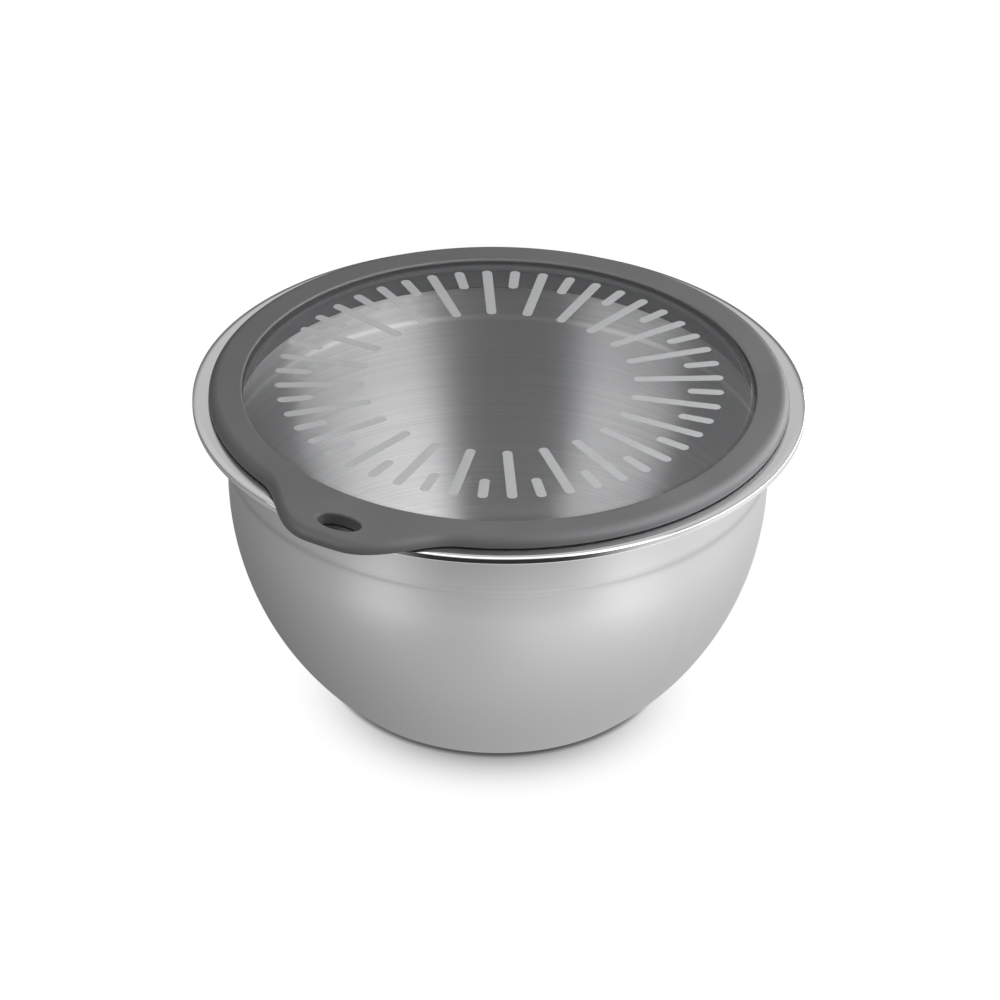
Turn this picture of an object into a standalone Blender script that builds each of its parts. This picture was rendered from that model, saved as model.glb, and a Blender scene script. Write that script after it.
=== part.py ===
"""Stainless steel mixing bowl with a lift-off lid.

The bowl is one drawn sheet. The lid is a soft ring with a pull tab and a clear window.
Metres, +Z up. The origin is the centre of the base, on the surface that the bowl stands on.
Every piece is turned about the Z axis. A profile is a list of (radius, height) points.
"""

import math

import bmesh
import bpy

# Bowl: one drawn sheet. Radii and heights are those of its outer face.
SHEET = 0.0008
BASE_RADIUS = 0.0609
WALL_RADIUS = 0.1009
CURVE_RADIUS = 0.11465
CORNER_RADIUS = 0.0015
LOWER_WALL = 0.0064
STEP_HEIGHT = 0.0036
STEP_OUT = 0.0003
UPPER_WALL = 0.0175
NECK_RADIUS = 0.0034
RIM_WIDTH = 0.0128
RIM_RISE = math.radians(2)
BEAD_RADIUS = 0.0014
BEAD_CURL = math.radians(250)

# Lid ring: heights are above the top of the bowl's rolled edge.
SEAT_GAP = 0.00035
RING_SETBACK = 0.006
RING_WIDTH = 0.0123
RING_HEIGHT = 0.00473
RING_EDGE = 0.0038
EDGE_SLOPE = math.radians(20)
EDGE_FOOT = 0.0004
RING_BEVEL = 0.0004
SKIRT_DEPTH = 0.0091
SKIRT_WALL = 0.0028
SKIRT_LEAD = 0.0008
LIP_REACH = 0.0006
LIP_HEIGHT = 0.0016

# Pull tab: how far it stands out of the ring, and how wide its tip and its shoulders are along the ring.
TAB_AZIMUTH = math.radians(240)
TAB_REACH = 0.0175
TAB_TIP = 0.012
TAB_SHOULDER = 0.037
HOLE_INSET = 0.0118
HOLE_LENGTH = 0.0172
HOLE_WIDTH = 0.0095
HOLE_BEVEL = 0.0006

# Window: a disc with a raised middle, held by its edge in the ring's groove.
FIT_GAP = 0.0003
WINDOW_RISE = 0.00175
WINDOW_SHEET = 0.0022
WINDOW_EDGE = 0.0027
WINDOW_GROOVE = 0.0009
HELD_WIDTH = 0.0038
HELD_SHEET = 0.0015
HELD_COVER = 0.001

# Facets of each full turn, and of each bend in a profile.
BOWL_TURN = 60
RING_TURN = 84
WINDOW_TURN = 60
OVAL_SIDES = 32
CORNER_FACETS = 3
CURVE_FACETS = 9
STEP_FACETS = 2
NECK_FACETS = 3
BEAD_FACETS = 8
RING_FACETS = 3
WINDOW_FACETS = 3
SMOOTH_ANGLE = math.radians(35)
OVERCUT = 0.001

# What follows from the sizes above.
RIM_RADIUS = WALL_RADIUS + STEP_OUT + RIM_WIDTH
RING_RADIUS = RIM_RADIUS - RING_SETBACK
RING_INNER = RING_RADIUS - RING_WIDTH
MOUTH_RADIUS = WALL_RADIUS + STEP_OUT - SHEET
SKIRT_RADIUS = MOUTH_RADIUS - SEAT_GAP


def bend(centre, radius, start, end, steps, outside):
    """Points of an arc, each with the way to the outer face: outside is 1 away from the centre, or -1."""
    samples = []
    for step in range(steps + 1):
        angle = start + (end - start) * step / steps
        way = (math.cos(angle), math.sin(angle))
        point = (centre[0] + radius * way[0], centre[1] + radius * way[1])
        samples.append((point, (outside * way[0], outside * way[1])))
    return samples


def sheet_middle():
    """The sheet's middle line, from the axis to the end of the rolled edge, and the centre of that edge."""
    half = SHEET / 2
    right = math.pi / 2
    curve_top = math.sqrt(CURVE_RADIUS**2 - (CURVE_RADIUS - WALL_RADIUS + BASE_RADIUS) ** 2)
    curve = (WALL_RADIUS - CURVE_RADIUS, curve_top)
    reach = CURVE_RADIUS - CORNER_RADIUS
    drop = curve_top - CORNER_RADIUS
    corner = (curve[0] + math.sqrt(reach**2 - drop**2), CORNER_RADIUS)
    slope = math.acos(drop / reach)
    line = [((0.0, half), (0.0, -1.0))]
    line += bend(corner, CORNER_RADIUS - half, -right, slope - right, CORNER_FACETS, 1)
    line += bend(curve, CURVE_RADIUS - half, slope - right, 0.0, CURVE_FACETS, 1)[1:]

    # The step: two equal opposite bends that move the wall out.
    tilt = 2 * math.atan2(STEP_OUT, STEP_HEIGHT)
    step_radius = STEP_HEIGHT / (2 * math.sin(tilt))
    foot = curve_top + LOWER_WALL
    wall = WALL_RADIUS - half
    hollow = (wall + step_radius, foot)
    line += bend(hollow, step_radius, math.pi, math.pi - tilt, STEP_FACETS, -1)
    head = (wall + STEP_OUT - step_radius, foot + STEP_HEIGHT)
    line += bend(head, step_radius, -tilt, 0.0, STEP_FACETS, 1)[1:]

    # The neck turns the wall out into the rim, and the rim runs straight into the rolled edge.
    neck = (wall + STEP_OUT + NECK_RADIUS, head[1] + UPPER_WALL)
    roll = BEAD_RADIUS - half
    bead_across = RIM_RADIUS - BEAD_RADIUS
    climb = (bead_across - neck[0]) * math.sin(RIM_RISE) + NECK_RADIUS - roll
    bead = (bead_across, neck[1] + climb / math.cos(RIM_RISE))
    crest = right + RIM_RISE
    line += bend(neck, NECK_RADIUS, math.pi, crest, NECK_FACETS, -1)
    line += bend(bead, roll, crest, crest - BEAD_CURL, BEAD_FACETS, -1)
    return line, bead


def bowl_profile(middle):
    """Outer face from the axis to the end of the rolled edge, then the inner face back to the axis."""
    half = SHEET / 2
    outer = [(p[0] + half * w[0], p[1] + half * w[1]) for p, w in middle]
    inner = [(p[0] - half * w[0], p[1] - half * w[1]) for p, w in middle]
    return outer + inner[::-1]


def under_lid(radius, bead):
    """Height of the lid's underside above the rolled edge: level over it, then down along the rim."""
    climb = (radius - bead[0]) * math.sin(RIM_RISE) + BEAD_RADIUS + SEAT_GAP
    return min(SEAT_GAP, climb / math.cos(RIM_RISE) - BEAD_RADIUS)


def level_radius(bead):
    """Radius at which the lid's underside stops rising along the rim and runs level."""
    return bead[0] - (BEAD_RADIUS + SEAT_GAP) * math.tan(RIM_RISE / 2)


def ring_reach(azimuth):
    """Outer radius of the ring: a circle, with the tab standing out of it on half-cosine shoulders."""
    turn = (azimuth - TAB_AZIMUTH + math.pi) % (2 * math.pi) - math.pi
    along = (RING_RADIUS * abs(turn) - TAB_TIP / 2) / TAB_SHOULDER
    share = min(max(along, 0.0), 1.0)
    return RING_RADIUS + TAB_REACH * (1 + math.cos(math.pi * share)) / 2


def outer_edge(reach, top, foot):
    """The ring's outer edge: one arc that leaves the flat top at the edge slope and ends at the foot."""
    half_turn = math.atan2(top - foot, RING_EDGE) - EDGE_SLOPE
    radius = math.hypot(RING_EDGE, top - foot) / (2 * math.sin(half_turn))
    start = math.pi / 2 - EDGE_SLOPE
    centre = (reach - RING_EDGE - radius * math.cos(start), top - radius * math.sin(start))
    return [point for point, _ in bend(centre, radius, start, start - 2 * half_turn, RING_FACETS, 1)]


def ring_section(reach, bead):
    """The ring's closed section, clockwise from its inner top edge. The outer edge follows the reach."""
    top = RING_HEIGHT
    under = under_lid(reach, bead)
    corner_under = min(reach - RING_BEVEL, level_radius(bead))
    section = [(RING_INNER, top - RING_BEVEL), (RING_INNER + RING_BEVEL, top)]
    section += outer_edge(reach, top, under + EDGE_FOOT)
    section.append((reach, under))
    section.append((corner_under, under_lid(corner_under, bead)))
    section.append((SKIRT_RADIUS, under_lid(SKIRT_RADIUS, bead)))
    section.append((SKIRT_RADIUS, SKIRT_LEAD - SKIRT_DEPTH))
    section.append((SKIRT_RADIUS - SKIRT_LEAD, -SKIRT_DEPTH))
    section.append((SKIRT_RADIUS - SKIRT_WALL, -SKIRT_DEPTH))

    # The lip under the window, and the groove that holds the window's edge.
    groove_top = top - HELD_COVER
    groove_floor = groove_top - HELD_SHEET - 2 * FIT_GAP
    groove_end = RING_INNER - WINDOW_GROOVE + HELD_WIDTH + FIT_GAP
    lip = RING_INNER - LIP_REACH
    section.append((SKIRT_RADIUS - SKIRT_WALL, groove_floor - LIP_HEIGHT))
    section.append((lip, groove_floor - LIP_HEIGHT))
    section.append((lip, groove_floor))
    section.append((groove_end, groove_floor))
    section.append((groove_end, groove_top))
    section.append((RING_INNER, groove_top))
    return section


def window_profile():
    """Underside from the axis to the held edge, then the top side back to the axis."""
    top = RING_HEIGHT + WINDOW_RISE
    held_top = RING_HEIGHT - HELD_COVER - FIT_GAP
    held_floor = held_top - HELD_SHEET
    riser = RING_INNER - WINDOW_GROOVE
    held_end = riser + HELD_WIDTH
    right = math.pi / 2
    edge = min(WINDOW_EDGE, top - held_top - FIT_GAP)
    under_edge = max(edge - WINDOW_SHEET, FIT_GAP)
    inside = (riser - WINDOW_SHEET, top - WINDOW_SHEET)
    under_turn = (inside[0] - under_edge, inside[1] - under_edge)
    profile = [(0.0, inside[1])]
    for point, _ in bend(under_turn, under_edge, right, 0.0, WINDOW_FACETS, 1):
        profile.append(point)
    profile.append((inside[0], held_floor))
    profile += [(held_end, held_floor), (held_end, held_top), (riser, held_top)]
    for point, _ in bend((riser - edge, top - edge), edge, 0.0, right, WINDOW_FACETS, 1):
        profile.append(point)
    profile.append((0.0, top))
    return profile


def finish(name, bm, material):
    """Makes an object of the mesh, with its faces out, smooth but for its edges."""
    bmesh.ops.remove_doubles(bm, verts=bm.verts, dist=1e-6)
    bmesh.ops.recalc_face_normals(bm, faces=bm.faces)
    mesh = bpy.data.meshes.new(name)
    bm.to_mesh(mesh)
    bm.free()
    mesh.shade_smooth()
    mesh.set_sharp_from_angle(angle=SMOOTH_ANGLE)
    mesh.materials.append(material)
    piece = bpy.data.objects.new(name, mesh)
    bpy.context.collection.objects.link(piece)
    return piece


def turned(name, profile, steps, material):
    """Spins an open profile that starts and ends on the axis."""
    bm = bmesh.new()
    points = [bm.verts.new((radius, 0.0, height)) for radius, height in profile]
    edges = [bm.edges.new(pair) for pair in zip(points, points[1:])]
    bmesh.ops.spin(
        bm,
        geom=points + edges,
        cent=(0.0, 0.0, 0.0),
        axis=(0.0, 0.0, 1.0),
        angle=2 * math.pi,
        steps=steps,
        use_merge=True,
    )
    return finish(name, bm, material)


def swept(name, sections, material):
    """Joins closed sections, one for each azimuth of a full turn, into one ring."""
    bm = bmesh.new()
    rows = []
    for index, section in enumerate(sections):
        azimuth = 2 * math.pi * index / len(sections)
        across = (math.cos(azimuth), math.sin(azimuth))
        rows.append([bm.verts.new((r * across[0], r * across[1], z)) for r, z in section])
    for row, after in zip(rows, rows[1:] + rows[:1]):
        for near in range(len(row)):
            far = (near + 1) % len(row)
            bm.faces.new((row[near], after[near], after[far], row[far]))
    return finish(name, bm, material)


def oval_cutter(name, centre_radius, floor, top, material):
    """An oval prism through the tab that widens at the top, so that the hole has a bevelled edge there."""
    levels = [
        (floor - OVERCUT, 0.0),
        (top - HOLE_BEVEL, 0.0),
        (top + OVERCUT, HOLE_BEVEL + OVERCUT),
    ]
    bm = bmesh.new()
    rows = []
    for height, wider in levels:
        row = []
        for side in range(OVAL_SIDES):
            angle = 2 * math.pi * side / OVAL_SIDES
            out = centre_radius + (HOLE_WIDTH / 2 + wider) * math.cos(angle)
            along = (HOLE_LENGTH / 2 + wider) * math.sin(angle)
            x = out * math.cos(TAB_AZIMUTH) - along * math.sin(TAB_AZIMUTH)
            y = out * math.sin(TAB_AZIMUTH) + along * math.cos(TAB_AZIMUTH)
            row.append(bm.verts.new((x, y, height)))
        rows.append(row)
    for low, high in zip(rows, rows[1:]):
        for near in range(OVAL_SIDES):
            far = (near + 1) % OVAL_SIDES
            bm.faces.new((low[near], low[far], high[far], high[near]))
    bm.faces.new(rows[0][::-1])
    bm.faces.new(rows[-1])
    cutter = finish(name, bm, material)
    cutter.hide_render = True
    cutter.display_type = "WIRE"
    return cutter


def principled(name, colour, metallic, roughness, alpha=1.0):
    material = bpy.data.materials.new(name)
    material.use_nodes = True
    shader = material.node_tree.nodes["Principled BSDF"]
    shader.inputs["Base Color"].default_value = (*colour, 1.0)
    shader.inputs["Metallic"].default_value = metallic
    shader.inputs["Roughness"].default_value = roughness
    shader.inputs["Alpha"].default_value = alpha
    return material


for leftover in list(bpy.data.objects):
    bpy.data.objects.remove(leftover)

steel = principled("brushed_steel", (0.56, 0.56, 0.57), 1.0, 0.32)
soft_grey = principled("soft_grey", (0.125, 0.125, 0.13), 0.0, 0.55)
clear = principled("clear_plastic", (0.5, 0.5, 0.5), 0.0, 0.08, alpha=0.25)

sheet, bead_centre = sheet_middle()
turned("bowl", bowl_profile(sheet), BOWL_TURN, steel)

# The lid stands on the rolled edge: its empty is on the axis, at the height of that edge.
lid = bpy.data.objects.new("lid", None)
lid.location = (0.0, 0.0, bead_centre[1] + BEAD_RADIUS)
bpy.context.collection.objects.link(lid)

azimuths = [2 * math.pi * index / RING_TURN for index in range(RING_TURN)]
ring_sections = [ring_section(ring_reach(azimuth), bead_centre) for azimuth in azimuths]
ring = swept("lid_ring", ring_sections, soft_grey)
ring.parent = lid

hole_radius = RING_RADIUS + TAB_REACH - HOLE_INSET
hole_floor = under_lid(hole_radius - HOLE_WIDTH / 2, bead_centre)
hole = oval_cutter("tab_hole", hole_radius, hole_floor, RING_HEIGHT, soft_grey)
hole.parent = lid
cut = ring.modifiers.new("tab_hole", "BOOLEAN")
cut.operation = "DIFFERENCE"
cut.object = hole

window = turned("lid_window", window_profile(), WINDOW_TURN, clear)
window.parent = lid
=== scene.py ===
"""The stainless steel mixing bowl and its lid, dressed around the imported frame. Metres, +Z up."""

import math

import bpy
import numpy as np
from mathutils import Matrix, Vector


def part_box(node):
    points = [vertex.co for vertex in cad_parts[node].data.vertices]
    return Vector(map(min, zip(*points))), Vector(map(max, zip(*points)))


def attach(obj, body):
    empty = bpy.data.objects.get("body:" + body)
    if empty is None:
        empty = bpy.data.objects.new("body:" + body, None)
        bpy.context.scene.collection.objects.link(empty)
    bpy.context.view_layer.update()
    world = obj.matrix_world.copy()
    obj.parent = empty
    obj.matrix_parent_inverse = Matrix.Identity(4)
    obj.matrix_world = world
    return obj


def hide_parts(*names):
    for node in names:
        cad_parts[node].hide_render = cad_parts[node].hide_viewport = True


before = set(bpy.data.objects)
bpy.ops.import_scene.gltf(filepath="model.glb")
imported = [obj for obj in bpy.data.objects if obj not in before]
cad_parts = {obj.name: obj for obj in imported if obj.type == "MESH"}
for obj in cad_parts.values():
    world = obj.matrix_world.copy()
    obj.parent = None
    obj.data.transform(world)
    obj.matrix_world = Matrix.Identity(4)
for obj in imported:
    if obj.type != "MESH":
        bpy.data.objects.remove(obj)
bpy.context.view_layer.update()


# Bowl
# One sheet of stainless steel, drawn to shape and turned down in a lip round its rim. The outside has a satin
# finish, the inside is brushed in rings while it turns, and the edge is polished. It carries the lid.

bowl_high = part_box("bowl")[1]
rim_radius = bowl_high.x
rim_top = bowl_high.z
sheet = 0.0008
base_radius = 0.0609
wall_radius = 0.1009
curve_radius = 0.11465
corner_radius = 0.0015
lower_wall = 0.0064
step_height = 0.0036
step_out = 0.0003
neck_radius = 0.0034
rim_rise = math.radians(2)
crown_radius = 0.0045
crown_fall = math.radians(25)
nose_radius = 0.0003
lip_drop = 0.0028
bowl_turn = 288
sharp_angle = math.radians(40)
right = math.pi / 2
away = 1
towards = -1


def bend(centre, radius, start, end, points, outer):
    """An arc about a centre: rows of radius, height, and the unit way to the sheet's outer face.

    That face lies on the side away from the centre, or towards it.
    """
    angle = np.linspace(start, end, points)
    way = np.stack([np.cos(angle), np.sin(angle)], axis=1)
    return np.hstack([np.array(centre) + radius * way, outer * way])


def straight(before, after, points):
    """Points evenly spaced between the last row of one bend and the first row of the next, without both."""
    share = np.linspace(0.0, 1.0, points + 2)[1:-1, None]
    return before[-1] * (1 - share) + after[0] * share


def placed(name, points, faces):
    """An object at the origin whose mesh has these points and faces."""
    mesh = bpy.data.meshes.new(name)
    mesh.from_pydata(points.reshape(-1, 3).tolist(), [], faces)
    piece = bpy.data.objects.new(name, mesh)
    bpy.context.scene.collection.objects.link(piece)
    return piece


def stacked(rings, steps):
    """Closed rings of points: the number of each point, of the one after it, and the quads between rings."""
    index = np.arange(rings * steps).reshape(rings, steps)
    after = np.roll(index, -1, axis=1)
    quads = np.stack([index[:-1], after[:-1], after[1:], index[1:]], axis=-1).reshape(-1, 4)
    return index, after, quads.tolist()


def turned(name, profile, steps):
    """A profile carried round Z: (r, z) at azimuth a is (r cos a, r sin a, z). Its two ends are poles."""
    ring = profile[1:-1]
    azimuth = np.linspace(0.0, 2 * math.pi, steps, endpoint=False)
    grid = np.empty((len(ring), steps, 3))
    grid[..., 0] = ring[:, :1] * np.cos(azimuth)
    grid[..., 1] = ring[:, :1] * np.sin(azimuth)
    grid[..., 2] = ring[:, 1:2]
    poles = np.array([[0.0, 0.0, profile[0, 1]], [0.0, 0.0, profile[-1, 1]]])
    index, after, quads = stacked(len(ring), steps)
    pole = np.full(steps, index.size)
    start_fan = np.stack([pole, after[0], index[0]], axis=-1)
    end_fan = np.stack([pole + 1, index[-1], after[-1]], axis=-1)
    points = np.vstack([grid.reshape(-1, 3), poles])
    piece = placed(name, points, start_fan.tolist() + quads + end_fan.tolist())
    piece.data.shade_smooth()
    piece.data.set_sharp_from_angle(angle=sharp_angle)
    return piece


# The middle line of the sheet runs from the axis to the end of the rim's flat. The edge is one outline:
# down the back of the lip, round its foot, up its face, round a tight nose and over the crown.
half = sheet / 2
curve_top = math.sqrt(curve_radius**2 - (curve_radius - wall_radius + base_radius) ** 2)
curve = (wall_radius - curve_radius, curve_top)
corner_reach = curve_radius - corner_radius
corner_drop = curve_top - corner_radius
corner = (curve[0] + math.sqrt(corner_reach**2 - corner_drop**2), corner_radius)
slope = math.acos(corner_drop / corner_reach) - right
step_tilt = 2 * math.atan2(step_out, step_height)
step_radius = step_height / (2 * math.sin(step_tilt))
step_foot = (wall_radius - half + step_radius, curve_top + lower_wall)
step_head = (wall_radius - half + step_out - step_radius, step_foot[1] + step_height)
crest = right + rim_rise
crown_end = right - crown_fall
crown_reach = crown_radius - nose_radius
crown_middle = crown_radius - half
crown = (rim_radius - nose_radius - crown_reach * math.cos(crown_end), rim_top - crown_radius)
nose = (rim_radius - nose_radius, crown[1] + crown_reach * math.sin(crown_end))
neck_across = wall_radius - half + step_out + neck_radius
neck_climb = (crown[0] - neck_across) * math.sin(rim_rise) + neck_radius - crown_middle
neck = (neck_across, crown[1] - neck_climb / math.cos(rim_rise))
lip_foot = (rim_radius - half, rim_top - lip_drop + half)

axis_row = np.array([[0.0, half, 0.0, -1.0]])
corner_bend = bend(corner, corner_radius - half, -right, slope, points=10, outer=away)
wall_bend = bend(curve, curve_radius - half, slope, 0.0, points=56, outer=away)[1:]
step_in_bend = bend(step_foot, step_radius, math.pi, math.pi - step_tilt, points=8, outer=towards)
step_out_bend = bend(step_head, step_radius, -step_tilt, 0.0, points=8, outer=away)[1:]
neck_bend = bend(neck, neck_radius, math.pi, crest, points=18, outer=towards)
flat_end = bend(crown, crown_middle, crest, crest, points=1, outer=towards)
wall_rows = [axis_row, straight(axis_row, corner_bend, points=10), corner_bend, wall_bend]
wall_rows += [straight(wall_bend, step_in_bend, points=3), step_in_bend, step_out_bend]
wall_rows += [straight(step_out_bend, neck_bend, points=6), neck_bend]
flat_rows = straight(neck_bend, flat_end, points=6)
middle = np.vstack(wall_rows + [flat_rows])
outer_face = middle[:, :2] + half * middle[:, 2:]
inner_face = middle[:, :2] - half * middle[:, 2:]

lip_back = [[lip_foot[0] - half, nose[1] - half / 2]]
lip_bend = bend(lip_foot, half, -math.pi, 0.0, points=24, outer=away)
nose_bend = bend(nose, nose_radius, 0.0, crown_end, points=8, outer=away)
crown_bend = bend(crown, crown_radius, crown_end, crest, points=12, outer=away)[1:]
edge_rows = np.vstack([lip_bend, straight(lip_bend, nose_bend, points=8), nose_bend, crown_bend])
edge_outline = np.vstack([lip_back, edge_rows[:, :2]])
bowl = turned("bowl_shell", np.vstack([outer_face, edge_outline, inner_face[::-1]]), bowl_turn)

# The steel's finishes. A node that these functions make is fed by other nodes' outputs or by plain values.
whole = (0.0, 1.0)
satin_colour = (0.64, 0.64, 0.65)
# Painted shade: the darker band over the wall's step outside.
satin_step_shade = (0.55, 0.55, 0.56)
rim_colour = (0.7, 0.7, 0.71)
polished_colour = (0.68, 0.68, 0.69)
brush_dark = (0.53, 0.53, 0.535)
brush_pale = (0.64, 0.64, 0.645)
# Painted highlight: the paler band over the wall's step inside.
brush_step_highlight = (0.74, 0.74, 0.745)
brush_span = (0.3, 0.7)
brush_rough = (0.32, 0.48)
brush_lines = 1900.0
brush_drift = 4.0
quarter_turn = 0.25
steel_detail = 3.0
step_blur = 0.0015


def fresh(name):
    """A new material, its node tree and its shader."""
    material = bpy.data.materials.new(name)
    material.use_nodes = True
    return material, material.node_tree, material.node_tree.nodes["Principled BSDF"]


def feed(tree, value, socket):
    """Links a node's output to a socket, or sets the socket to a plain value."""
    if isinstance(value, bpy.types.NodeSocket):
        tree.links.new(value, socket)
    else:
        socket.default_value = value


def graded(tree, value, old, new, soft=False):
    """A value carried from one range to another and held at its ends, on a straight line or a soft curve."""
    node = tree.nodes.new("ShaderNodeMapRange")
    node.interpolation_type = "SMOOTHSTEP" if soft else "LINEAR"
    names = ("Value", "From Min", "From Max", "To Min", "To Max")
    for name, part in zip(names, (value, *old, *new)):
        feed(tree, part, node.inputs[name])
    return node.outputs["Result"]


def maths(tree, operation, *parts):
    """One number worked out from others."""
    node = tree.nodes.new("ShaderNodeMath")
    node.operation = operation
    for part, socket in zip(parts, node.inputs):
        feed(tree, part, socket)
    return node.outputs["Value"]


def vector_maths(tree, operation, *parts):
    """One vector, or one number, worked out from vectors."""
    node = tree.nodes.new("ShaderNodeVectorMath")
    node.operation = operation
    for part, socket in zip(parts, node.inputs):
        feed(tree, part, socket)
    gives_number = operation in ("LENGTH", "DISTANCE", "DOT_PRODUCT")
    return node.outputs["Value" if gives_number else "Vector"]


def object_place(tree):
    """Where a point of the surface lies in its piece's own frame."""
    return tree.nodes.new("ShaderNodeTexCoord").outputs["Object"]


def split(tree, place):
    """The X, Y and Z of a place."""
    node = tree.nodes.new("ShaderNodeSeparateXYZ")
    tree.links.new(place, node.inputs["Vector"])
    return node.outputs


def from_axis(tree, place):
    """How far a place is from the Z axis: its length once its height is taken out."""
    return vector_maths(tree, "LENGTH", vector_maths(tree, "MULTIPLY", place, (1.0, 1.0, 0.0)))


def noise(tree, place, scale, detail=2.0):
    """A random value that changes smoothly from place to place, faster for a larger scale."""
    node = tree.nodes.new("ShaderNodeTexNoise")
    node.inputs["Scale"].default_value = scale
    node.inputs["Detail"].default_value = detail
    tree.links.new(place, node.inputs["Vector"])
    return node.outputs["Fac"]


def tones(tree, value, span, dark, pale):
    """A colour that goes from a dark tone to a pale one as a value goes through a span."""
    node = tree.nodes.new("ShaderNodeValToRGB")
    for stop, position, tone in zip(node.color_ramp.elements, span, (dark, pale)):
        stop.position = position
        stop.color = (*tone, 1.0)
    tree.links.new(value, node.inputs["Fac"])
    return node.outputs["Color"]


def mixed(tree, share, first, second, kind="Color"):
    """A share of the way from a first colour, or number, to a second one."""
    node = tree.nodes.new("ShaderNodeMix")
    node.data_type = "RGBA" if kind == "Color" else "FLOAT"
    sockets = {socket.identifier: socket for socket in (*node.inputs, *node.outputs)}
    feed(tree, share, sockets["Factor_Float"])
    feed(tree, first, sockets[f"A_{kind}"])
    feed(tree, second, sockets[f"B_{kind}"])
    return sockets[f"Result_{kind}"]


def step_share(tree, margin):
    """A soft hump over the height of the wall's step: none a margin past its ends, and full at its middle."""
    height = split(tree, object_place(tree))["Z"]
    low = step_foot[1] - margin
    high = step_head[1] + margin
    peak = (low + high) / 2
    rising = graded(tree, height, (low, peak), whole, soft=True)
    falling = graded(tree, height, (high, peak), whole, soft=True)
    return maths(tree, "MINIMUM", rising, falling)


def steel(name, colour, rough, grain):
    """Steel of one colour. A fine noise moves its roughness through a range."""
    material, tree, shader = fresh(name)
    shader.inputs["Base Color"].default_value = (*colour, 1.0)
    shader.inputs["Metallic"].default_value = 1.0
    fine = noise(tree, object_place(tree), grain, steel_detail)
    feed(tree, graded(tree, fine, whole, rough), shader.inputs["Roughness"])
    return material


def brushed(name):
    """Steel brushed in rings, so its noise follows the distance from the axis and the height."""
    material, tree, shader = fresh(name)
    shader.inputs["Metallic"].default_value = 1.0
    place = object_place(tree)
    axes = split(tree, place)
    ringed = tree.nodes.new("ShaderNodeCombineXYZ")
    tree.links.new(from_axis(tree, place), ringed.inputs["X"])
    tree.links.new(axes["Z"], ringed.inputs["Y"])
    tree.links.new(axes["X"], ringed.inputs["Z"])
    stretch = (brush_lines, brush_lines, brush_drift)
    lines = noise(tree, vector_maths(tree, "MULTIPLY", ringed.outputs["Vector"], stretch), 1.0, steel_detail)
    plain = tones(tree, lines, brush_span, brush_dark, brush_pale)
    # A paler band over the wall's step is a painted highlight.
    colour = mixed(tree, step_share(tree, 0.0), plain, (*brush_step_highlight, 1.0))
    feed(tree, colour, shader.inputs["Base Color"])
    feed(tree, graded(tree, lines, whole, brush_rough), shader.inputs["Roughness"])
    shader.inputs["Anisotropic"].default_value = 1.0
    shader.inputs["Anisotropic Rotation"].default_value = quarter_turn
    way = tree.nodes.new("ShaderNodeTangent")
    way.direction_type = "RADIAL"
    way.axis = "Z"
    tree.links.new(way.outputs["Tangent"], shader.inputs["Tangent"])
    return material


satin_steel = steel("satin_steel", satin_colour, rough=(0.3, 0.34), grain=900.0)
satin_tree = satin_steel.node_tree
# The outside takes a darker band over the wall's step: painted shade.
satin_with_painted_shade = mixed(satin_tree, step_share(satin_tree, step_blur), (*satin_colour, 1.0), (*satin_step_shade, 1.0))
feed(satin_tree, satin_with_painted_shade, satin_tree.nodes["Principled BSDF"].inputs["Base Color"])
rim_steel = steel("rim_steel", rim_colour, rough=(0.18, 0.22), grain=600.0)
polished_steel = steel("polished_steel", polished_colour, rough=(0.05, 0.07), grain=300.0)
brushed_steel = brushed("brushed_steel")

# The finishes, from the middle of the outside to the middle of the inside. A row of faces between two of
# them takes the one that comes first in the order of the slots.
for material in (satin_steel, rim_steel, polished_steel, brushed_steel):
    bowl.data.materials.append(material)
satin_slot, rim_slot, polished_slot, brushed_slot = range(4)
wall_count = len(middle) - len(flat_rows)
band_slots = [satin_slot, rim_slot, polished_slot, rim_slot, brushed_slot]
band_sizes = [wall_count, len(flat_rows), len(edge_outline), len(flat_rows), wall_count]
point_slot = np.repeat(band_slots, band_sizes)
row_slot = np.minimum(point_slot[:-1], point_slot[1:])
bowl.data.polygons.foreach_set("material_index", np.repeat(row_slot, bowl_turn).astype(np.int32))
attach(bowl, "bowl")
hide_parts("bowl")


# Lid ring
# A soft grey ring moulded in one piece with its pull tab, the skirt that plugs the mouth of the bowl
# and the groove that holds the window. It lies on the rim, and the tab's hole takes a finger or a hook.

seat_gap = 0.00035
rim_margin = 0.006
ring_width = 0.0123
ring_height = 0.00473
ring_edge = 0.0034
edge_slope = math.radians(8)
edge_foot = 0.0004
ring_bevel = 0.0006
skirt_drop = 0.0091
skirt_wall = 0.0028
skirt_lead = 0.0008
ledge_reach = 0.0006
ledge_height = 0.0016
fit_gap = 0.0003
held_cover = 0.001
held_sheet = 0.0015
held_width = 0.0038
window_groove = 0.0009
tab_azimuth = math.radians(240)
tab_reach = 0.0175
tab_tip = 0.012
tab_shoulder = 0.037
hole_inset = 0.0118
hole_length = 0.0172
hole_width = 0.0095
hole_edge = 0.0009
hole_flare = math.radians(80)
ring_turn = 640
under_points = 30
top_points = 12
flare_points = 8
oval_sides = 96
soft_dark = (0.072, 0.072, 0.075)
soft_pale = (0.082, 0.082, 0.085)
# Painted highlight for the ring's inner edge.
soft_inner_highlight = (0.14, 0.14, 0.143)
# Painted shade for the wall of the tab's hole.
hole_shade_dark = (0.034, 0.034, 0.036)
hole_shade_pale = (0.04, 0.04, 0.042)
soft_span = (0.3, 0.7)
soft_rough = (0.48, 0.58)
soft_clouds = 35.0
soft_grain = 2200.0
grain_strength = 0.06
grain_depth = 0.0002
soft_shine = 0.45

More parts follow.
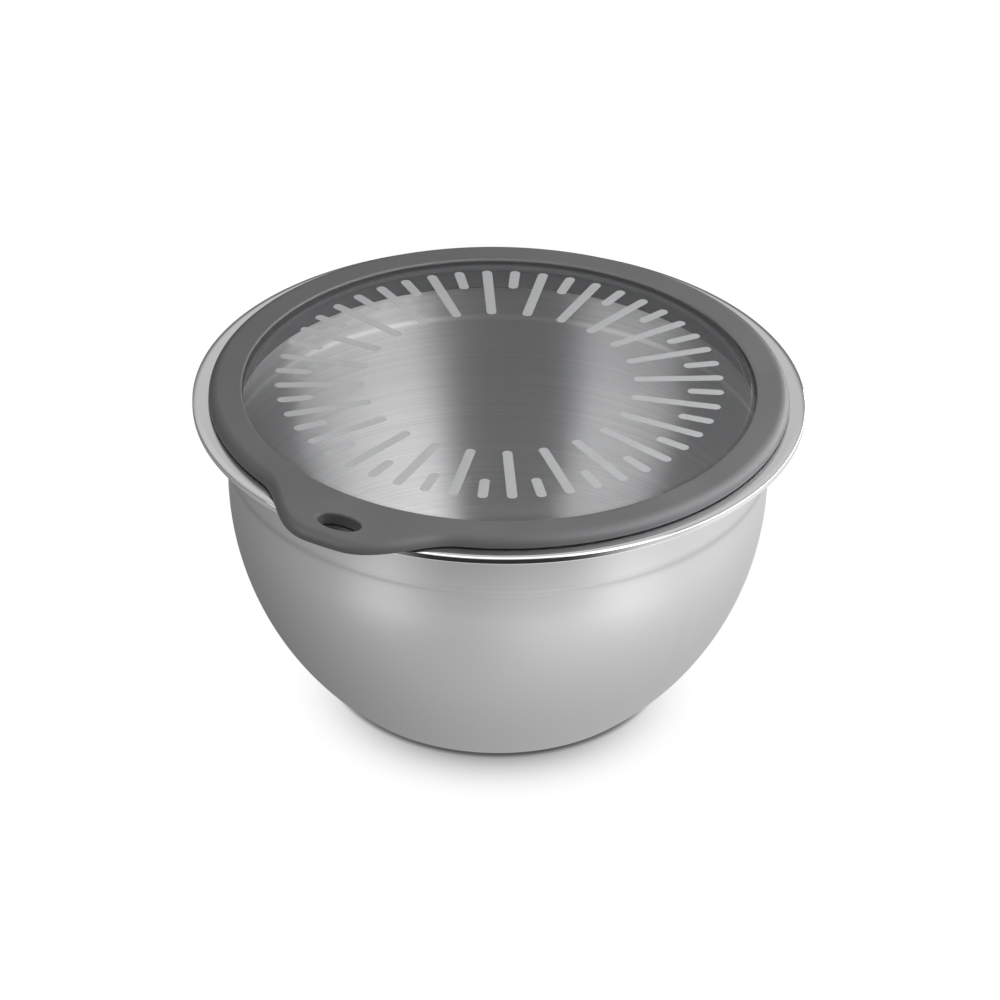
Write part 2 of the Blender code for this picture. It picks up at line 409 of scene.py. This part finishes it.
ring_radius = rim_radius - rim_margin
ring_inner = ring_radius - ring_width
ring_top = rim_top + ring_height
skirt_radius = wall_radius + step_out - sheet - seat_gap
skirt_floor = rim_top - skirt_drop
hole_centre = ring_radius + tab_reach - hole_inset


def ring_reach(azimuth):
    """Outer radius: a circle, with the tab standing out of it on two half-cosine shoulders."""
    turn = (azimuth - tab_azimuth + math.pi) % (2 * math.pi) - math.pi
    along = (ring_radius * np.abs(turn) - tab_tip / 2) / tab_shoulder
    return ring_radius + tab_reach * (1 + np.cos(math.pi * np.clip(along, 0.0, 1.0))) / 2


def under_lid(radius):
    """Height of the underside: along the rim's flat with a gap, and level past the top of its crown."""
    climb = (radius - crown[0]) * math.sin(rim_rise) + crown_radius + seat_gap
    return np.minimum(rim_top + seat_gap, crown[1] + climb / math.cos(rim_rise))


def fixed(radius, height, count):
    """A corner of the section that is the same at every azimuth."""
    return np.stack([np.full((count, 1), radius), np.full((count, 1), height)], axis=-1)


def rounded(across, height, radius, start, end, points):
    """An arc of the section whose centre, radius and ends may differ at each azimuth, as (radius, height)."""
    share = np.linspace(0.0, 1.0, points)
    angle = start[:, None] * (1 - share) + end[:, None] * share
    out = across[:, None] + radius[:, None] * np.cos(angle)
    up = height[:, None] + radius[:, None] * np.sin(angle)
    return np.stack([out, up], axis=-1)


ring_azimuth = np.linspace(0.0, 2 * math.pi, ring_turn, endpoint=False)
reach = ring_reach(ring_azimuth)
level = np.ones(ring_turn)
under_reach = under_lid(reach)

# The outer edge is one arc from the flat top, which it leaves at the edge slope, down to a small round foot.
edge_height = ring_top - under_reach - edge_foot
edge_half_turn = np.arctan2(edge_height, ring_edge) - edge_slope
edge_radius = np.hypot(ring_edge, edge_height) / (2 * np.sin(edge_half_turn))
edge_start = (right - edge_slope) * level
edge_end = edge_start - 2 * edge_half_turn
edge_across = reach - ring_edge - edge_radius * math.sin(edge_slope)
edge_centre = ring_top - edge_radius * math.cos(edge_slope)
edge_arc = rounded(edge_across, edge_centre, edge_radius, edge_start, edge_end, points=18)
foot_radius = edge_foot * level
foot_across = reach - foot_radius
foot_arc = rounded(foot_across, under_reach + foot_radius, foot_radius, 0.0 * level, -right * level, points=6)
bevel_across = (ring_inner + ring_bevel) * level
bevel_centre = (ring_top - ring_bevel) * level
bevel_arc = rounded(bevel_across, bevel_centre, ring_bevel * level, math.pi * level, right * level, points=6)

groove_top = ring_top - held_cover
groove_floor = groove_top - held_sheet - 2 * fit_gap
groove_end = ring_inner - window_groove + held_width + fit_gap
ledge = ring_inner - ledge_reach
skirt_inner = skirt_radius - skirt_wall
under_share = np.linspace(0.0, 1.0, under_points)[1:-1]
under_out = foot_across[:, None] * (1 - under_share) + skirt_radius * under_share
under_rows = np.stack([under_out, under_lid(under_out)], axis=-1)
top_share = np.linspace(0.0, 1.0, top_points)[1:]
top_out = (ring_inner + ring_bevel) * (1 - top_share) + (reach - ring_edge)[:, None] * top_share
top_rows = np.stack([top_out, np.full_like(top_out, ring_top)], axis=-1)
section = [
    bevel_arc,
    top_rows,
    edge_arc[:, 1:],
    foot_arc,
    under_rows,
    fixed(skirt_radius, under_lid(skirt_radius), ring_turn),
    fixed(skirt_radius, skirt_floor + skirt_lead, ring_turn),
    fixed(skirt_radius - skirt_lead, skirt_floor, ring_turn),
    fixed(skirt_inner + ring_bevel, skirt_floor, ring_turn),
    fixed(skirt_inner, skirt_floor + ring_bevel, ring_turn),
    fixed(skirt_inner, groove_floor - ledge_height, ring_turn),
    fixed(ledge, groove_floor - ledge_height, ring_turn),
    fixed(ledge, groove_floor, ring_turn),
    fixed(groove_end, groove_floor, ring_turn),
    fixed(groove_end, groove_top, ring_turn),
    fixed(ring_inner, groove_top, ring_turn),
]


def swept(name, sections, azimuth):
    """Closed sections, one at each azimuth of a full turn, joined into one ring of quads."""
    points = np.empty((*sections.shape[:2], 3))
    points[..., 0] = sections[..., 0] * np.cos(azimuth)[:, None]
    points[..., 1] = sections[..., 0] * np.sin(azimuth)[:, None]
    points[..., 2] = sections[..., 1]
    index = np.arange(points.shape[0] * points.shape[1]).reshape(points.shape[:2])
    beside = np.roll(index, -1, axis=0)
    quads = np.stack([index, np.roll(index, -1, axis=1), np.roll(beside, -1, axis=1), beside], axis=-1)
    return placed(name, points, quads.reshape(-1, 4).tolist())


def oval_plug(name):
    """The space of the tab's hole: an oval carried up through the tab, flaring at the top on a round edge."""
    flare = np.linspace(0.0, hole_flare, flare_points)
    high = np.stack([hole_edge * (1 - np.cos(flare)), ring_top - hole_edge * (1 - np.sin(flare))], axis=1)
    above = high[-1] + [hole_edge, hole_edge]
    below = [0.0, under_lid(hole_centre - hole_width / 2) - hole_edge]
    rows = np.vstack([below, high, above])
    angle = np.linspace(0.0, 2 * math.pi, oval_sides, endpoint=False)
    out = hole_centre + (hole_width / 2 + rows[:, :1]) * np.cos(angle)
    along = (hole_length / 2 + rows[:, :1]) * np.sin(angle)
    points = np.empty((len(rows), oval_sides, 3))
    points[..., 0] = out * math.cos(tab_azimuth) - along * math.sin(tab_azimuth)
    points[..., 1] = out * math.sin(tab_azimuth) + along * math.cos(tab_azimuth)
    points[..., 2] = rows[:, 1:]
    index, _, quads = stacked(len(rows), oval_sides)
    return placed(name, points, quads + [index[0, ::-1].tolist(), index[-1].tolist()])


ring = swept("lid_ring_soft", np.concatenate(section, axis=1), ring_azimuth)
plug = oval_plug("tab_hole")
cut = ring.modifiers.new("tab_hole", "BOOLEAN")
cut.operation = "DIFFERENCE"
cut.object = plug
bpy.context.view_layer.update()
drilled = bpy.data.meshes.new_from_object(ring.evaluated_get(bpy.context.evaluated_depsgraph_get()))
ring.modifiers.clear()
ring.data = drilled
bpy.data.objects.remove(plug)
ring.data.shade_smooth()
ring.data.set_sharp_from_angle(angle=sharp_angle)


def soft(name, dark, pale):
    """Soft matte plastic: clouds in its tone and roughness, a fine grain, and a painted highlight on the
    ring's inner edge.
    """
    material, tree, shader = fresh(name)
    place = object_place(tree)
    clouds = noise(tree, place, soft_clouds)
    # The ring's inner top edge turns paler: a painted highlight.
    inner = graded(tree, from_axis(tree, place), (ring_inner + ring_bevel, ring_inner), whole)
    upper = graded(tree, split(tree, place)["Z"], (groove_top, ring_top - ring_bevel), whole)
    edge = maths(tree, "MULTIPLY", inner, upper)
    plain = tones(tree, clouds, soft_span, dark, pale)
    feed(tree, mixed(tree, edge, plain, (*soft_inner_highlight, 1.0)), shader.inputs["Base Color"])
    feed(tree, graded(tree, clouds, whole, soft_rough), shader.inputs["Roughness"])
    bump = tree.nodes.new("ShaderNodeBump")
    bump.inputs["Strength"].default_value = grain_strength
    bump.inputs["Distance"].default_value = grain_depth
    tree.links.new(noise(tree, place, soft_grain), bump.inputs["Height"])
    tree.links.new(bump.outputs["Normal"], shader.inputs["Normal"])
    shader.inputs["Specular IOR Level"].default_value = soft_shine
    return material


# The wall of the hole is painted a darker grey: painted shade, as it looks in the shade of the tab. Its
# faces are those whose centres lie inside the oval, grown by half of its round edge.
face_centre = np.empty(3 * len(ring.data.polygons))
ring.data.polygons.foreach_get("center", face_centre)
face_centre = face_centre.reshape(-1, 3)
face_out = face_centre[:, 0] * math.cos(tab_azimuth) + face_centre[:, 1] * math.sin(tab_azimuth)
face_along = face_centre[:, 1] * math.cos(tab_azimuth) - face_centre[:, 0] * math.sin(tab_azimuth)
oval_out = (face_out - hole_centre) / ((hole_width + hole_edge) / 2)
oval_along = face_along / ((hole_length + hole_edge) / 2)
in_hole = np.hypot(oval_out, oval_along) < 1.0
ring.data.materials.clear()
ring.data.materials.append(soft("soft_grey", soft_dark, soft_pale))
ring.data.materials.append(soft("hole_painted_shade", hole_shade_dark, hole_shade_pale))
ring.data.polygons.foreach_set("material_index", in_hole.astype(np.int32))
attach(ring, "lid")
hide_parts("lid_ring")


# Lid window
# A moulded disc of clear plastic with a raised middle and a round edge. Its thin rim is held in the
# ring's groove, and a narrow gap shows between the two.

window_rise = 0.00175
window_sheet = 0.0022
window_edge = 0.0027
window_turn = 288
clear_colour = (0.16, 0.165, 0.17)
clear_rough = 0.12
clear_facing = 0.35
clear_cover = (0.04, 0.16)
window_top = ring_top + window_rise
held_top = groove_top - fit_gap
held_floor = held_top - held_sheet
riser = ring_inner - window_groove
held_end = riser + held_width
under_edge = window_edge - window_sheet
inside_radius = riser - window_sheet
inside_top = window_top - window_sheet
half_way = inside_radius / 2

upper_centre = (riser - window_edge, window_top - window_edge)
upper_bend = bend(upper_centre, window_edge, 0.0, right, points=20, outer=away)
under_centre = (inside_radius - under_edge, inside_top - under_edge)
under_bend = bend(under_centre, under_edge, right, 0.0, points=10, outer=away)
window_profile = np.vstack([
    [[0.0, inside_top], [half_way, inside_top]],
    under_bend[:, :2],
    [[inside_radius, held_floor], [held_end, held_floor], [held_end, held_top], [riser, held_top]],
    upper_bend[:, :2],
    [[half_way, window_top], [0.0, window_top]],
])
window = turned("lid_window_clear", window_profile, window_turn)

clear_plastic, clear_tree, clear_shader = fresh("clear_plastic")
clear_shader.inputs["Base Color"].default_value = (*clear_colour, 1.0)
clear_shader.inputs["Roughness"].default_value = clear_rough
facing = clear_tree.nodes.new("ShaderNodeLayerWeight")
facing.inputs["Blend"].default_value = clear_facing
clear_alpha = graded(clear_tree, facing.outputs["Facing"], whole, clear_cover)
feed(clear_tree, clear_alpha, clear_shader.inputs["Alpha"])
window.data.materials.append(clear_plastic)
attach(window, "lid")
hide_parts("lid_window")


# Print on the window
# A wreath of rounded rays in pale ink, long and short by turns. The ink is one thin layer on the raised
# middle of the window, so it lifts with the lid.

ray_count = 48
ray_width = 0.0038
ray_outer = 0.0835
long_inner = 0.050
short_inner = 0.070
ink_gap = 0.00001
ink_depth = 0.00003
ray_sides = 24
ink_dark = (0.31, 0.315, 0.32)
ink_pale = (0.36, 0.365, 0.37)
ink_grain = 700.0
ink_rough = 0.4
ink_cover = 0.72


def rays(name):
    """Flat strokes: each outline is two half circles joined by straight sides, turned to its azimuth."""
    number = np.arange(ray_count)
    azimuth = (number + 0.5) * 2 * math.pi / ray_count
    inner = np.where(number % 2 == 0, long_inner, short_inner)
    angle = np.linspace(-right, 3 * right, ray_sides, endpoint=False)
    cap = ray_width / 2
    ends = np.where(np.cos(angle) > 0, ray_outer - cap, inner[:, None] + cap)
    out = ends + cap * np.cos(angle)
    across = np.broadcast_to(cap * np.sin(angle), out.shape)
    flat = np.stack([
        out * np.cos(azimuth)[:, None] - across * np.sin(azimuth)[:, None],
        out * np.sin(azimuth)[:, None] + across * np.cos(azimuth)[:, None],
    ], axis=-1)
    floor = window_top + ink_gap
    layers = [np.dstack([flat, np.full(out.shape, height)]) for height in (floor, floor + ink_depth)]
    index = np.arange(ray_count * 2 * ray_sides).reshape(ray_count, 2, ray_sides)
    after = np.roll(index, -1, axis=2)
    sides = np.stack([index[:, 0], after[:, 0], after[:, 1], index[:, 1]], axis=-1).reshape(-1, 4)
    faces = sides.tolist() + index[:, 1].tolist() + index[:, 0, ::-1].tolist()
    return placed(name, np.stack(layers, axis=1), faces)


ink_rays = rays("lid_window_print")
pale_ink, ink_tree, ink_shader = fresh("pale_ink")
ink_noise = noise(ink_tree, object_place(ink_tree), ink_grain)
feed(ink_tree, tones(ink_tree, ink_noise, whole, ink_dark, ink_pale), ink_shader.inputs["Base Color"])
ink_shader.inputs["Roughness"].default_value = ink_rough
ink_shader.inputs["Alpha"].default_value = ink_cover
ink_rays.data.materials.append(pale_ink)
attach(ink_rays, "lid")


# Floor
# A sheet of paper, white to the eye, with a soft shadow drawn round the bowl and a little to the front.
# The steel sees it brightest at the front right, dimmer close to the bowl, and ending in the dark, most of
# all in front and behind.

floor_half = 3.0
paper_white = 0.5
shadow_centre = (0.0, -0.016, 0.0)
shadow_range = (0.078, 0.0465)
shadow_depth = 0.7
contact_range = (0.0615, 0.0648)
contact_tone = 0.3
lit_way = (0.766, -0.643, 0.0)
lit_tone = (0.34, 1.32)
near_radius = (0.06, 0.28)
near_tone = 0.45
lit_end = (0.275, 0.295)
dark_depth = (0.1, 0.28)
dark_tone = (0.75, 0.03)
pool_reach = 0.1
left_pool = ((-0.16, -0.2, 0.0), 0.52)
right_pool = ((0.18, -0.18, 0.0), 0.52)
front_pool = ((-0.03, -0.2, 0.0), -0.17)

floor_corners = floor_half * np.array([[-1, -1, 0], [1, -1, 0], [1, 1, 0], [-1, 1, 0]])
floor = placed("floor", floor_corners, [[0, 1, 2, 3]])
paper, paper_tree, paper_shader = fresh("paper")
paper_tree.nodes.remove(paper_shader)
paper_place = object_place(paper_tree)
paper_far = vector_maths(paper_tree, "LENGTH", paper_place)

# What the eye sees: white, less a share of the squared nearness to the painted shadow's centre, and a dark
# line of painted shadow round the base.
shadow_from = vector_maths(paper_tree, "DISTANCE", paper_place, shadow_centre)
shadow_near = graded(paper_tree, shadow_from, shadow_range, whole)
shadow_square = maths(paper_tree, "POWER", shadow_near, 2.0)
shadow_left = maths(paper_tree, "MULTIPLY_ADD", shadow_square, -shadow_depth, 1.0)
contact = graded(paper_tree, paper_far, contact_range, (contact_tone, 1.0), soft=True)
eye_tone = maths(paper_tree, "MULTIPLY", shadow_left, contact)

# What the steel sees: painted light on the paper up to its end, two painted pools of light, and a patch of
# painted shade between them.
paper_way = vector_maths(paper_tree, "NORMALIZE", paper_place)
paper_along = vector_maths(paper_tree, "DOT_PRODUCT", paper_way, lit_way)
paper_round = graded(paper_tree, paper_along, (-1.0, 1.0), lit_tone)
paper_near = graded(paper_tree, paper_far, near_radius, (near_tone, 1.0))
paper_lit = maths(paper_tree, "MULTIPLY", paper_round, paper_near)
paper_depth = maths(paper_tree, "ABSOLUTE", split(paper_tree, paper_place)["Y"])
paper_dark = graded(paper_tree, paper_depth, dark_depth, dark_tone)
paper_end = graded(paper_tree, paper_far, lit_end, (1.0, paper_dark), soft=True)
steel_tone = maths(paper_tree, "MULTIPLY", paper_lit, paper_end)
for pool_centre, pool_tone in (left_pool, right_pool, front_pool):
    pool_from = vector_maths(paper_tree, "DISTANCE", paper_place, pool_centre)
    pool = graded(paper_tree, pool_from, (0.0, pool_reach), (pool_tone, 0.0), soft=True)
    steel_tone = maths(paper_tree, "ADD", steel_tone, pool)

# The paper glows for the eye and for what the steel and the window show of it. It is matt for other light.
rays_seen = paper_tree.nodes.new("ShaderNodeLightPath").outputs
mirrored = rays_seen["Is Glossy Ray"]
looked_at = maths(paper_tree, "MAXIMUM", rays_seen["Is Camera Ray"], rays_seen["Is Transmission Ray"])
glow = paper_tree.nodes.new("ShaderNodeEmission")
feed(paper_tree, mixed(paper_tree, mirrored, eye_tone, steel_tone, "Float"), glow.inputs["Strength"])
matt = paper_tree.nodes.new("ShaderNodeBsdfDiffuse")
matt.inputs["Color"].default_value = (paper_white, paper_white, paper_white, 1.0)
surface = paper_tree.nodes.new("ShaderNodeMixShader")
feed(paper_tree, maths(paper_tree, "MAXIMUM", mirrored, looked_at), surface.inputs["Fac"])
feed(paper_tree, matt.outputs["BSDF"], surface.inputs[1])
feed(paper_tree, glow.outputs["Emission"], surface.inputs[2])
feed(paper_tree, surface.outputs["Shader"], paper_tree.nodes["Material Output"].inputs["Surface"])
floor.data.materials.append(paper)


# Studio light
# Four soft boxes: a key at the right and a little in front, a low one at the right and a little behind, a
# fill at the left, and a weak one overhead. The room is dim, and pale only high up behind the bowl.

box_aim = 0.08
room_dim = 0.21
room_pale = 0.8
room_behind = (0.0, 0.8)
room_above = (0.2, 0.6)


def soft_box(name, bearing, elevation, distance, size, radiance):
    """A soft box at a bearing and an elevation in degrees, facing the bowl. Its power gives the radiance."""
    lamp = bpy.data.lights.new(name, "AREA")
    lamp.shape = "RECTANGLE"
    lamp.size, lamp.size_y = size
    lamp.energy = radiance * math.pi * size[0] * size[1]
    azimuth = math.radians(bearing)
    climb = math.radians(elevation)
    out = distance * math.cos(climb)
    box = bpy.data.objects.new(name, lamp)
    box.location = (out * math.cos(azimuth), out * math.sin(azimuth), box_aim + distance * math.sin(climb))
    turn = Matrix.Rotation(azimuth + right, 4, "Z") @ Matrix.Rotation(right - climb, 4, "X")
    box.rotation_euler = turn.to_euler()
    box.visible_camera = False
    bpy.context.scene.collection.objects.link(box)


soft_box("key_box", bearing=-21, elevation=36, distance=0.6, size=(0.75, 0.5), radiance=5.6)
soft_box("side_box", bearing=29, elevation=9, distance=0.5, size=(0.46, 0.17), radiance=6.4)
soft_box("fill_box", bearing=-154, elevation=33, distance=1.0, size=(0.8, 0.5), radiance=3.6)
soft_box("top_box", bearing=90, elevation=80, distance=1.2, size=(0.9, 0.6), radiance=1.2)

room = bpy.data.worlds.new("room")
room.use_nodes = True
room_tree = room.node_tree
room_way = split(room_tree, room_tree.nodes.new("ShaderNodeTexCoord").outputs["Generated"])
behind = graded(room_tree, room_way["Y"], room_behind, whole, soft=True)
above = graded(room_tree, room_way["Z"], room_above, whole, soft=True)
room_tone = graded(room_tree, maths(room_tree, "MULTIPLY", behind, above), whole, (room_dim, room_pale))
room_light = room_tree.nodes["Background"]
room_light.inputs["Color"].default_value = (1.0, 1.0, 1.0, 1.0)
feed(room_tree, room_tone, room_light.inputs["Strength"])
bpy.context.scene.world = room


# Camera
# A long lens, looking down at the bowl from the front. The camera leans a little to one side, and its
# frame is shifted a little, as in the photograph.

lens_mm = 252.0
sensor_mm = 36.0
frame_shift = 0.0026
camera_distance = 2.6266
camera_elevation = math.radians(31.41)
camera_roll = math.radians(0.95)
target_height = 0.07354
lens = bpy.data.cameras.new("camera")
lens.lens = lens_mm
lens.sensor_width = sensor_mm
lens.shift_x = frame_shift
camera = bpy.data.objects.new("camera", lens)
camera.location = (
    0.0,
    -camera_distance * math.cos(camera_elevation),
    target_height + camera_distance * math.sin(camera_elevation),
)
tilt = Matrix.Rotation(right - camera_elevation, 4, "X") @ Matrix.Rotation(camera_roll, 4, "Z")
camera.rotation_euler = tilt.to_euler()
bpy.context.scene.collection.objects.link(camera)
bpy.context.scene.camera = camera
bpy.context.scene.view_settings.view_transform = "Standard"
